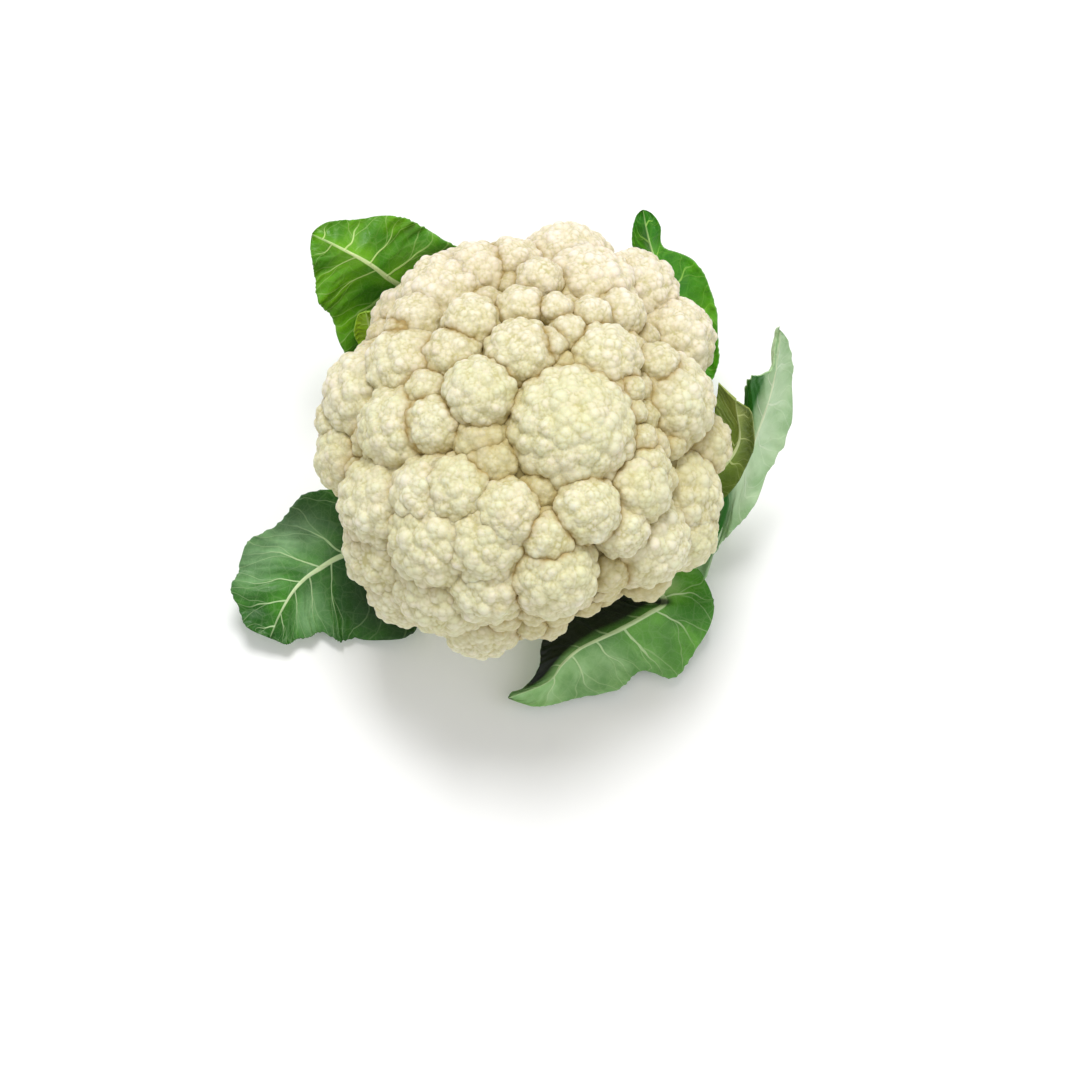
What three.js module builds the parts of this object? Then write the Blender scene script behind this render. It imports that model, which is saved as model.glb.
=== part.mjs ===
// Head of cauliflower with its wrapper leaves, resting on the flat cut of its stalk.
// Millimetres, Z up, origin at the centre of the cut face.
import * as THREE from "three";
import { ConvexHull } from "three/addons/math/ConvexHull.js";

// Main sizes
const GAP = 0.3;
const STALK_RADIUS = 23;
const STALK_TOP = 35;
const STALK_SIDES = 40;
const CURD_CENTRE = new THREE.Vector3(0, 0, 75);
const CURD_HALF = new THREE.Vector3(80, 88, 64);
const CURD_FOOT = STALK_TOP + GAP;
const RIM_RADIUS = 70;
const RIM_Z = 57;
const BRANCHES = 13;
const BLADE = 0.9;
const INNER_CLEAR = 2;
const OUTER_CLEAR = 5.5;

// The shape was measured in one view, from 65 degrees above the front and 900 mm away.
// A reading is [across, down], 2.5 to the millimetre at the middle of the curd.
const VIEW_RISE = THREE.MathUtils.degToRad(65);
const VIEW_DISTANCE = 900;
const READING = 0.4;
const MIDDLE = [519, 441];
const TOWARDS = new THREE.Vector3(0, -Math.cos(VIEW_RISE), Math.sin(VIEW_RISE));
const UPWARDS = new THREE.Vector3(0, Math.sin(VIEW_RISE), Math.cos(VIEW_RISE));
const EYE = CURD_CENTRE.clone().addScaledVector(TOWARDS, VIEW_DISTANCE);

// Florets seen in that view: [across, down, radius, how far it stands proud in mm, fullness]
// A floret is the cap of a ball that is wider by its fullness, and sunk to keep the cap's height.
const FULLNESS = 1.24;
const FLORETS = [
  [442, 292, 37, 0, 1.4], [470, 320, 24, 1, 1.3], [414, 320, 25, 0, 1.3], [402, 338, 21, -1],
  [473, 272, 30, 0, 1.35], [512, 264, 27, -1], [521, 308, 22, -1], [401, 364, 33, 0, 1.4],
  [362, 394, 38, 0, 1.4],
  [396, 430, 35, 0, 1.4], [340, 420, 24, 0, 1.4], [432, 425, 27, 0], [346, 458, 31, -1, 1.4],
  [452, 355, 26, -1], [425, 392, 20, -1], [478, 393, 31, 4], [521, 352, 31, 2],
  [480, 440, 25, -4], [490, 464, 24, -4], [548, 345, 16, 0], [640, 287, 34, 0, 1.35],
  [556, 308, 15, 0], [569, 332, 17, -1], [562, 362, 12, -4], [570, 262, 38, 1, 1.35],
  [592, 287, 40, 0, 1.35], [592, 315, 18, 0], [540, 278, 20, 0], [607, 358, 32, 2],
  [615, 388, 11, -2], [630, 388, 14, -1], [622, 312, 22, 0], [680, 336, 33, 0, 1.35],
  [658, 315, 24, 0, 1.35], [672, 402, 42, 0], [660, 365, 20, 0], [573, 432, 56, 4],
  [635, 412, 11, -2], [644, 440, 13, -2], [704, 445, 28, -7], [378, 508, 36, 0, 1.5],
  [425, 500, 30, 0, 1.5], [456, 494, 29, 1, 1.35], [384, 556, 36, 0, 1.5], [436, 548, 38, 1, 1.55],
  [401, 592, 31, 0, 1.45], [440, 596, 36, 0, 1.5], [507, 516, 28, 2, 1.3], [482, 548, 34, 1, 1.45],
  [486, 590, 32, 0, 1.4], [480, 624, 34, -1, 1.3], [553, 577, 39, 2], [548, 540, 24, 1],
  [588, 512, 29, 4], [540, 492, 18, -5], [540, 522, 15, -4], [679, 504, 41, 0, 1.45],
  [640, 492, 28, 1, 1.4], [686, 536, 30, 0, 1.4], [651, 548, 34, 0, 1.45], [650, 468, 18, 0, 1.3],
  [624, 532, 22, 0, 1.4], [610, 572, 20, -6], [648, 578, 22, -6],
];
// Florets out of that view: radius and depth in mm, and the lowest they sit as an angle from the top
const HIDDEN_RADIUS = 15;
const HIDDEN_SUNK = 5;
const HIDDEN_LOWEST = 112;
const HIDDEN_BEHIND = -0.15;
// Small sunken florets in the gaps between the main ones, in mm
const FILL_RADIUS = 6.5;
const FILL_SUNK = 7;

// At the foot of the front right the small florets stand deeper, over the leaf there
const FOOT_AXIS = new THREE.Vector3(0.5, -0.86, -0.1).normalize();
const FOOT_SPREAD = 0.93;
const FOOT_SUNK = 13;
const BUD_RADIUS = 4.8;
const BUDS = 30;
const TYPICAL_RADIUS = 15;
const CORE_SHARE = 0.955;
const DOME_SHARE = 0.86;
const GOLDEN = Math.PI * (3 - Math.sqrt(5));

// Leaves: readings of the midrib and both edges with a height in mm, base first.
// Edge points face the midrib point that their side vein starts from.
const LEAVES = [
  {
    name: "leaf_back_left",
    color: 0x4f9a3a,
    rib: [7, 1.6],
    ruffle: [2.2, 4, 0.6],
    mid: [
      [487, 462, 14], [431, 399, 17], [404, 340, 34], [397, 300, 58],
      [386, 276, 74], [370, 264, 82], [350, 253, 87], [330, 243, 90], [312, 235, 90],
    ],
    left: [
      [476, 470, 15], [405, 415, 20], [368, 372, 30], [346, 347, 48],
      [331, 322, 61], [319, 298, 72], [314, 281, 79], [313, 261, 86], [309, 243, 89],
    ],
    right: [
      [498, 456, 15], [462, 392, 22], [470, 330, 40], [468, 262, 66],
      [446, 240, 80], [417, 223, 86], [384, 216, 90], [347, 220, 92], [315, 227, 90],
    ],
  },
  {
    name: "leaf_back_right",
    color: 0x4b9a2b,
    rib: [7, 1.4],
    ruffle: [2.0, 4, 2.1],
    mid: [
      [560, 466, 14], [608, 420, 17], [652, 378, 26], [680, 345, 38],
      [684, 322, 48], [678, 302, 57], [668, 282, 65], [656, 260, 73], [648, 236, 80],
      [643, 210, 84],
    ],
    left: [
      [548, 458, 15], [585, 396, 22], [620, 345, 30], [640, 305, 38],
      [645, 290, 46], [642, 276, 53], [638, 262, 61], [634, 247, 70], [633, 226, 79],
      [638, 210, 83],
    ],
    right: [
      [572, 474, 15], [640, 444, 20], [692, 412, 26], [716, 372, 34],
      [719, 340, 45], [714, 300, 56], [696, 262, 66], [664, 247, 73], [660, 226, 80],
      [649, 208, 84],
    ],
  },
  {
    name: "leaf_right",
    color: 0x9cbf9a,
    rib: [7, 1.6],
    ruffle: [1.6, 4, 1.2],
    mid: [
      [576, 514, 12], [650, 518, 14], [706, 511, 25], [729, 492, 38],
      [741, 470, 48], [751, 447, 58], [760, 423, 67], [768, 398, 77], [774, 372, 87],
      [777, 350, 97], [779, 328, 105],
    ],
    left: [
      [572, 502, 13], [650, 494, 18], [714, 470, 32], [735, 440, 52],
      [742, 415, 66], [745, 392, 80], [748, 377, 90], [760, 375, 93], [771, 368, 93],
      [774, 345, 99], [778, 327, 105],
    ],
    right: [
      [572, 526, 11], [650, 545, 10], [700, 580, 12], [712, 556, 16],
      [732, 530, 24], [758, 497, 34], [777, 456, 46], [788, 412, 60], [794, 372, 76],
      [786, 344, 91], [780, 328, 105],
    ],
  },
  {
    name: "leaf_front_right",
    color: 0x3f7f35,
    rib: [7, 1.6],
    ruffle: [1.8, 5, 0.2],
    mid: [
      [556, 545, 8], [610, 570, 9], [655, 592, 12], [664, 605, 15],
      [649, 614, 17], [623, 628, 17], [600, 639, 16], [579, 649, 15], [562, 664, 13],
      [548, 681, 11], [508, 698, 8],
    ],
    left: [
      [566, 534, 8], [630, 552, 12], [690, 560, 20], [711, 600, 16],
      [703, 642, 9], [674, 676, 5], [645, 672, 5], [620, 686, 5], [585, 698, 5],
      [548, 704, 5], [518, 706, 6],
    ],
    right: [
      [547, 556, 8], [592, 576, 9], [618, 582, 10], [604, 590, 10],
      [588, 594, 10], [568, 600, 11], [549, 612, 12], [541, 642, 12], [540, 664, 12],
      [524, 687, 10], [507, 692, 8],
    ],
  },
  {
    name: "leaf_front_left",
    color: 0x3c7240,
    rib: [7, 1.6],
    ruffle: [1.8, 5, 1.7],
    mid: [
      [464, 521, 12], [425, 532, 13], [380, 544, 15], [341, 556, 17],
      [320, 568, 18], [303, 580, 18], [290, 596, 17], [279, 616, 14], [270, 638, 10],
    ],
    left: [
      [463, 534, 12], [430, 570, 9], [413, 630, 6], [352, 642, 4],
      [333, 637, 5], [314, 634, 6], [300, 640, 6], [286, 643, 7], [274, 641, 9],
    ],
    right: [
      [468, 509, 12], [412, 500, 19], [322, 489, 30], [284, 517, 30],
      [251, 541, 27], [236, 572, 22], [233, 594, 18], [243, 621, 13], [262, 637, 10],
    ],
  },
  {
    name: "leaf_inner_left",
    color: 0x8fb24a,
    rib: [5, 1.2],
    ruffle: [2.0, 3, 0.4],
    small: true,
    mid: [[478, 448, 26], [430, 400, 33], [390, 352, 47], [372, 331, 62], [366, 312, 72]],
    left: [[470, 454, 27], [415, 412, 33], [375, 366, 47], [355, 338, 61], [358, 311, 72]],
    right: [[486, 442, 27], [445, 388, 35], [412, 342, 50], [394, 318, 64], [374, 309, 73]],
  },
  {
    name: "leaf_inner_right",
    color: 0x7d8440,
    rib: [5, 1.2],
    ruffle: [1.6, 3, 1.9],
    small: true,
    mid: [[572, 498, 27], [640, 492, 34], [706, 478, 46], [738, 444, 62], [736, 402, 86]],
    left: [[568, 488, 28], [640, 470, 38], [704, 440, 56], [716, 408, 78], [717, 379, 94]],
    right: [[572, 508, 28], [642, 512, 34], [718, 500, 42], [752, 455, 58], [752, 406, 84]],
  },
];
const RUFFLED_HALF = 25;
const LEAF_ROWS = 22;
const LEAF_COLUMNS = 6;
const SMALL_ROWS = 12;
const SMALL_COLUMNS = 3;

// Where a reading lies at a given height
function place([across, down, height]) {
  const seen = CURD_CENTRE.clone()
    .add(new THREE.Vector3((across - MIDDLE[0]) * READING, 0, 0))
    .addScaledVector(UPWARDS, (MIDDLE[1] - down) * READING);
  return EYE.clone().lerp(seen, (height - EYE.z) / (seen.z - EYE.z));
}

// Centre of a floret: where its line of sight first meets the curd's dome
function floretCentre([across, down, radius, proud]) {
  const seen = CURD_CENTRE.clone()
    .add(new THREE.Vector3((across - MIDDLE[0]) * READING, 0, 0))
    .addScaledVector(UPWARDS, (MIDDLE[1] - down) * READING);
  const size = radius * READING;
  const half = CURD_HALF.clone().addScalar(proud - 0.75 * size);
  const from = EYE.clone().sub(CURD_CENTRE).divide(half);
  const along = seen.sub(EYE).divide(half);
  const a = along.lengthSq();
  const b = from.dot(along);
  const c = from.lengthSq() - 1;
  const t = (-b - Math.sqrt(Math.max(0, b * b - a * c))) / a;
  return from.addScaledVector(along, t).multiply(half);
}

// The ball of a floret of a given size, its top where the floret's is
function floretBall(centre, size, fullness = FULLNESS) {
  const length = centre.length() - (fullness - 1) * size;
  return { centre: centre.clone().setLength(length), radius: fullness * size, size };
}

// Even spread of directions over a ball, by the golden angle
function spreadDirection(k, count) {
  const z = 1 - (2 * k + 1) / count;
  const ring = Math.sqrt(1 - z * z);
  return new THREE.Vector3(ring * Math.cos(GOLDEN * k), ring * Math.sin(GOLDEN * k), z);
}

function wobble(i, k) {
  const s = Math.sin(i * 12.9898 + k * 78.233) * 43758.5453;
  return s - Math.floor(s);
}

// All main florets, relative to the curd's centre
function mainFlorets() {
  const florets = FLORETS.map((f) => {
    const centre = floretCentre(f);
    const nearer = VIEW_DISTANCE / (VIEW_DISTANCE - centre.dot(TOWARDS));
    return floretBall(centre, (f[2] * READING) / nearer, f[4]);
  });
  const addClear = (d, size, sunk, share) => {
    if (Math.acos(d.z) > THREE.MathUtils.degToRad(HIDDEN_LOWEST)) return;
    const half = CURD_HALF.clone().addScalar(-0.75 * size - sunk);
    const ball = floretBall(d.clone().multiply(half), size);
    const apart = (f) => f.centre.distanceTo(ball.centre) > share * (f.size + size);
    if (florets.every(apart)) florets.push(ball);
  };
  for (let k = 0; k < 400; k++) {
    const d = spreadDirection(k, 400);
    if (d.dot(TOWARDS) > HIDDEN_BEHIND) continue;
    addClear(d, HIDDEN_RADIUS * (0.8 + 0.4 * wobble(k, 1)), HIDDEN_SUNK, 0.84);
  }
  for (let k = 0; k < 1500; k++) {
    const size = FILL_RADIUS * (0.7 + 0.6 * wobble(k, 7));
    const d = spreadDirection(k, 1500);
    addClear(d, size, d.dot(FOOT_AXIS) > FOOT_SPREAD ? FOOT_SUNK : FILL_SUNK, 0.82);
  }
  return florets;
}

// Small buds over the outer side of each main floret
function budsOf(floret, index) {
  const axis = floret.centre.clone().add(new THREE.Vector3(0, 0, 26)).normalize();
  const turn = new THREE.Quaternion().setFromUnitVectors(new THREE.Vector3(0, 0, 1), axis);
  const scale = floret.radius / TYPICAL_RADIUS;
  const count = Math.max(7, Math.round(BUDS * scale ** 1.7));
  const buds = [];
  for (let k = 0; k < count; k++) {
    const z = 1 - (1.25 * (k + 0.5)) / count;
    const ring = Math.sqrt(1 - z * z);
    const a = GOLDEN * k + 2 * Math.PI * wobble(index, 2);
    const d = new THREE.Vector3(ring * Math.cos(a), ring * Math.sin(a), z).applyQuaternion(turn);
    const radius = BUD_RADIUS * scale ** 0.4 * (0.75 + 0.5 * wobble(index, k + 3));
    const centre = floret.centre.clone().addScaledVector(d, floret.radius - 0.84 * radius);
    buds.push({ centre, radius, tip: centre.clone().addScaledVector(d, radius) });
  }
  return buds;
}

// How far a ball reaches along a direction from the curd's centre
function reach(ball, d, grow) {
  const b = ball.centre.dot(d);
  const r = ball.radius + grow;
  const inside = b * b - ball.centre.lengthSq() + r * r;
  return inside < 0 ? 0 : b + Math.sqrt(inside);
}

// The thick branches under the curd: a ribbed cone from the rim down to the stalk
function coreReach(d) {
  const dome = DOME_SHARE / d.clone().divide(CURD_HALF).length();
  const side = Math.hypot(d.x, d.y);
  const slope = (RIM_Z - CURD_FOOT) / (RIM_RADIUS - STALK_RADIUS);
  const foot = CURD_FOOT - CURD_CENTRE.z;
  const fall = d.z - slope * side;
  if (fall >= 0) return dome;
  const ribs = 1 + 0.05 * Math.cos(BRANCHES * Math.atan2(d.y, d.x)) * Math.min(1, 1.6 * side);
  const cone = ((foot - slope * STALK_RADIUS) / fall) * ribs;
  const flat = d.z < 0 ? foot / d.z : Infinity;
  return Math.min(dome, cone, flat);
}

function makeCurd(florets) {
  const buds = florets.flatMap(budsOf);
  const cores = florets.map((f) => ({ centre: f.centre, radius: CORE_SHARE * f.radius }));
  const lowest = CURD_FOOT - CURD_CENTRE.z;
  const surface = (d) => {
    let far = coreReach(d);
    for (const ball of buds) far = Math.max(far, reach(ball, d, 0));
    for (const ball of cores) far = Math.max(far, reach(ball, d, 0));
    return d.z < 0 ? Math.min(far, lowest / d.z) : far;
  };
  const directions = [];
  const add = (d, apart) => {
    const unit = d.clone().normalize();
    if (directions.every((o) => o.distanceTo(unit) > apart)) directions.push(unit);
  };
  for (let k = 0; k < STALK_SIDES; k++) {
    const a = (2 * Math.PI * k) / STALK_SIDES;
    const x = STALK_RADIUS * Math.cos(a);
    add(new THREE.Vector3(x, STALK_RADIUS * Math.sin(a), lowest), 0.01);
  }
  add(new THREE.Vector3(0, 0, -1), 0.01);
  for (const bud of buds) {
    if (bud.tip.z < lowest + 6) continue;
    const d = bud.tip.clone().normalize();
    if (surface(d) < bud.tip.length() + 0.6) add(d, 0.035);
  }
  for (let k = 0; k < 900; k++) {
    const d = spreadDirection(k, 900);
    if (d.z < -0.3) add(d, 0.09);
  }
  const tips = hullFaces(directions);
  for (const [a, b, c] of tips) {
    const wide = Math.max(a.distanceTo(b), b.distanceTo(c), c.distanceTo(a));
    const middle = b.clone().sub(a).cross(c.clone().sub(a)).normalize();
    if (wide > 0.06) add(middle, 0.02);
  }
  const corners = hullFaces(directions).flat();
  const points = corners.flatMap((d) => {
    const p = d.clone().multiplyScalar(surface(d)).add(CURD_CENTRE);
    return [p.x, p.y, p.z];
  });
  const geometry = new THREE.BufferGeometry();
  geometry.setAttribute("position", new THREE.Float32BufferAttribute(points, 3));
  return geometry;
}

// Triangles between directions that spread over the whole ball
function hullFaces(directions) {
  const hull = new ConvexHull().setFromPoints(directions);
  return hull.faces.map((face) => {
    const first = face.edge;
    return [first, first.next, first.next.next].map((edge) => edge.head().point);
  });
}

function makeStalk() {
  const profile = [
    [0, 0], [21.4, 0], [22.3, 1.2], [22.6, 9], [22.2, 14], [22.9, 20], [22.5, 27],
    [23, STALK_TOP], [0, STALK_TOP],
  ];
  const points = profile.map(([x, y]) => new THREE.Vector2(x, y));
  const geometry = new THREE.LatheGeometry(points, STALK_SIDES);
  return geometry.rotateX(Math.PI / 2);
}

function curve(readings) {
  return new THREE.CatmullRomCurve3(readings.map(place), false, "catmullrom", 0.5);
}

// Keep a leaf point off the curd and off the stalk, and above the surface it rests on
function clearOf(p, florets, clear, atBase) {
  const from = p.clone().sub(CURD_CENTRE);
  const d = from.clone().normalize();
  let far = coreReach(d) * 1.04;
  for (const f of florets) far = Math.max(far, reach(f, d, 0.09 * f.radius));
  if (from.length() < far + clear) {
    p.copy(CURD_CENTRE).addScaledVector(d, far + clear);
  }
  const side = Math.hypot(p.x, p.y);
  const off = STALK_RADIUS + GAP;
  if (atBase || side < off) {
    p.x *= off / side;
    p.y *= off / side;
  }
  return p;
}

function makeLeaf(leaf, florets) {
  const rows = leaf.small ? SMALL_ROWS : LEAF_ROWS;
  const columns = leaf.small ? SMALL_COLUMNS : LEAF_COLUMNS;
  const mid = curve(leaf.mid);
  const left = curve(leaf.left);
  const right = curve(leaf.right);
  const [amount, waves, phase] = leaf.ruffle;
  const width = 2 * columns + 1;
  const middles = [];
  for (let i = 0; i <= rows; i++) {
    const t = i / rows;
    const m = mid.getPoint(t);
    const across = right.getPoint(t).sub(left.getPoint(t));
    const normal = across.clone().cross(mid.getTangent(t)).normalize();
    for (let j = -columns; j <= columns; j++) {
      const v = Math.abs(j) / columns;
      const edge = (j < 0 ? left : right).getPoint(t);
      const half = edge.distanceTo(m);
      const blade = Math.min(1, Math.max(0, 5 * t - 0.6));
      const wave = Math.sin(2 * Math.PI * (waves * t + 0.37 * Math.sign(j)) + phase);
      const p = m.clone().lerp(edge, v * (1 + 0.04 * blade * wave));
      const cup = -0.22 * half * v * (1 - v);
      const ruffle = amount * Math.min(1, half / RUFFLED_HALF);
      p.addScaledVector(normal, blade * (cup + ruffle * v * v * wave));
      const clear = leaf.small ? INNER_CLEAR : OUTER_CLEAR;
      middles.push({ p: clearOf(p, florets, clear, i === 0), v: v * half, t, normal });
    }
  }
  const faces = [];
  const thick = [];
  const ribWidth = leaf.rib[0];
  for (const { v, t } of middles) {
    const rib = leaf.rib[0] * (1 - t) ** 1.6 + leaf.rib[1] * t;
    const near = Math.max(0, 1 - (v / (ribWidth * (1.25 - t))) ** 2);
    thick.push([0.5 * BLADE + 0.18 * rib * near, 0.5 * BLADE + 0.55 * rib * near]);
  }
  const upper = middles.map(({ p, normal }, n) => p.clone().addScaledVector(normal, thick[n][0]));
  const lower = middles.map(({ p, normal }, n) => p.clone().addScaledVector(normal, -thick[n][1]));
  const quad = (a, b, c, d) => faces.push(a, b, c, a, c, d);
  const at = (grid, i, j) => grid[i * width + j];
  for (let i = 0; i < rows; i++) {
    for (let j = 0; j < width - 1; j++) {
      quad(at(upper, i, j), at(upper, i, j + 1), at(upper, i + 1, j + 1), at(upper, i + 1, j));
      const [a, b] = [at(lower, i, j), at(lower, i, j + 1)];
      const [c, d] = [at(lower, i + 1, j + 1), at(lower, i + 1, j)];
      faces.push(a, c, b, a, d, c);
    }
    const last = width - 1;
    quad(at(lower, i, 0), at(upper, i, 0), at(upper, i + 1, 0), at(lower, i + 1, 0));
    quad(at(upper, i, last), at(lower, i, last), at(lower, i + 1, last), at(upper, i + 1, last));
  }
  for (let j = 0; j < width - 1; j++) {
    quad(at(lower, 0, j), at(lower, 0, j + 1), at(upper, 0, j + 1), at(upper, 0, j));
    const [a, b] = [at(lower, rows, j), at(lower, rows, j + 1)];
    quad(at(upper, rows, j), at(upper, rows, j + 1), b, a);
  }
  const geometry = new THREE.BufferGeometry();
  const points = faces.flatMap((p) => [p.x, p.y, p.z]);
  geometry.setAttribute("position", new THREE.Float32BufferAttribute(points, 3));
  return geometry;
}

// The whole head
const group = new THREE.Group();
function addPiece(name, geometry, color, roughness) {
  const material = new THREE.MeshStandardMaterial({ color, roughness, metalness: 0 });
  const mesh = new THREE.Mesh(geometry, material);
  mesh.name = name;
  group.add(mesh);
}
const florets = mainFlorets();
addPiece("curd", makeCurd(florets), 0xe9dfbd, 0.75);
addPiece("stalk", makeStalk(), 0xc5d3a0, 0.6);
for (const leaf of LEAVES) addPiece(leaf.name, makeLeaf(leaf, florets), leaf.color, 0.55);

export default group;
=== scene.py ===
"""Head of cauliflower: florets, branches, stalk and veined leaves, in metres, in the CAD frame."""
import math
import bmesh
import bpy
import numpy as np
from mathutils import Matrix


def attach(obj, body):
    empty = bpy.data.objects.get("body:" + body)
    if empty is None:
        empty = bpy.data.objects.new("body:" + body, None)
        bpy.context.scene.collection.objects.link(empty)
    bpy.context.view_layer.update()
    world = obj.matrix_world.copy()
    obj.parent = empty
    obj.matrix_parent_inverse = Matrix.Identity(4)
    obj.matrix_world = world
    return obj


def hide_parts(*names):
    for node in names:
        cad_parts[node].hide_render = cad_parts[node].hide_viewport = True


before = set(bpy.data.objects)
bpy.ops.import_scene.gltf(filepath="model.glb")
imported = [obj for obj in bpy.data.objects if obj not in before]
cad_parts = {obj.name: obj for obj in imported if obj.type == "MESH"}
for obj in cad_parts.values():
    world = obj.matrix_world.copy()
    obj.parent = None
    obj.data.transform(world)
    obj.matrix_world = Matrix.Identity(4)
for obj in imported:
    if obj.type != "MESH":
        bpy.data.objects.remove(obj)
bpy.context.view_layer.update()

# Sizes in millimetres, as in the part's source
MM = 0.001
STALK_RADIUS = 23.0
STALK_TOP = 35.0
CENTRE = np.array([0.0, 0.0, 75.0])
CURD_HALF = np.array([80.0, 88.0, 64.0])
CURD_FOOT = 35.3
RIM_RADIUS = 70.0
RIM_Z = 57.0
BRANCHES = 13
GOLDEN = math.pi * (3 - math.sqrt(5))

# The view that the shape was measured in
RISE = math.radians(65)
DISTANCE = 900.0
READING = 0.4
MIDDLE = (519.0, 441.0)
FRAME_SIZE = 1080.0
TOWARDS = np.array([0.0, -math.cos(RISE), math.sin(RISE)])
UPWARDS = np.array([0.0, math.sin(RISE), math.cos(RISE)])
EYE = CENTRE + TOWARDS * DISTANCE

# Florets: across, down, radius, how far each stands proud in mm, and fullness
FLORETS = [
    (442, 292, 37, 0, 1.4), (470, 320, 24, 1, 1.3), (414, 320, 25, 0, 1.3), (402, 338, 21, -1),
    (473, 272, 30, 0, 1.35), (512, 264, 27, -1), (521, 308, 22, -1), (401, 364, 33, 0, 1.4),
    (362, 394, 38, 0, 1.4),
    (396, 430, 35, 0, 1.4), (340, 420, 24, 0, 1.4), (432, 425, 27, 0), (346, 458, 31, -1, 1.4),
    (452, 355, 26, -1), (425, 392, 20, -1), (478, 393, 31, 4), (521, 352, 31, 2),
    (480, 440, 25, -4), (490, 464, 24, -4), (548, 345, 16, 0), (640, 287, 34, 0, 1.35),
    (556, 308, 15, 0), (569, 332, 17, -1), (562, 362, 12, -4), (570, 262, 38, 1, 1.35),
    (592, 287, 40, 0, 1.35), (592, 315, 18, 0), (540, 278, 20, 0), (607, 358, 32, 2),
    (615, 388, 11, -2), (630, 388, 14, -1), (622, 312, 22, 0), (680, 336, 33, 0, 1.35),
    (658, 315, 24, 0, 1.35), (672, 402, 42, 0), (660, 365, 20, 0), (573, 432, 56, 4),
    (635, 412, 11, -2), (644, 440, 13, -2), (704, 445, 28, -7), (378, 508, 36, 0, 1.5),
    (425, 500, 30, 0, 1.5), (456, 494, 29, 1, 1.35), (384, 556, 36, 0, 1.5), (436, 548, 38, 1, 1.55),
    (401, 592, 31, 0, 1.45), (440, 596, 36, 0, 1.5), (507, 516, 28, 2, 1.3), (482, 548, 34, 1, 1.45),
    (486, 590, 32, 0, 1.4), (480, 624, 34, -1, 1.3), (553, 577, 39, 2), (548, 540, 24, 1),
    (588, 512, 29, 4), (540, 492, 18, -5), (540, 522, 15, -4), (679, 504, 41, 0, 1.45),
    (640, 492, 28, 1, 1.4), (686, 536, 30, 0, 1.4), (651, 548, 34, 0, 1.45), (650, 468, 18, 0, 1.3),
    (624, 532, 22, 0, 1.4), (610, 572, 20, -6), (648, 578, 22, -6),
]
HIDDEN_RADIUS = 15.0
HIDDEN_SUNK = 5.0
HIDDEN_LOWEST = math.radians(112)
HIDDEN_BEHIND = -0.15
HIDDEN_TRIES = 400
HIDDEN_APART = 0.84
FULLNESS = 1.24
FILL_RADIUS = 6.5
FILL_SUNK = 7.0
FILL_TRIES = 1500
FILL_APART = 0.82
FOOT_TOWARDS = np.array([0.5, -0.86, -0.1])
FOOT_AXIS = FOOT_TOWARDS / np.linalg.norm(FOOT_TOWARDS)
FOOT_SPREAD = 0.93
FOOT_SUNK = 10.8
DOME_SHARE = 0.86
BUD_RADIUS = 4.8
BUDS = 30
FEWEST_BUDS = 7
BUD_AIM = np.array([0.0, 0.0, 26.0])
BUD_SPAN = 1.25
BUD_SUNK = 0.84
TYPICAL_RADIUS = 15.0
CORE_SHARE = 0.955
GRAIN_SHARE = 0.5
GRAIN_RISE = 0.16
GRAINS = 20
SKIN_GRAIN = 1.9
SKIN_GRAINS = 1.6
SKIN_PROUD = 0.4
SKIN_JITTER = 0.2
GRAIN_JITTER = 0.08
BUD_BASE = 0.6
CREASE_WIDTH = 0.22
CREVICE_WIDTH = 1.2
NEIGHBOUR = 12.0
CORE_HIDES = 0.74
BURIED_KEPT = 11
SECTORS = 8
CROWN_REACH = 36.0
SKIN_STEP = 0.74
JOINED_EASE = 1.3
# Painted shade for sunk florets: florets sunk this far or further get this share of it.
SUNK_FROM = -4
SUNK_SHADE = 0.32
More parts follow.
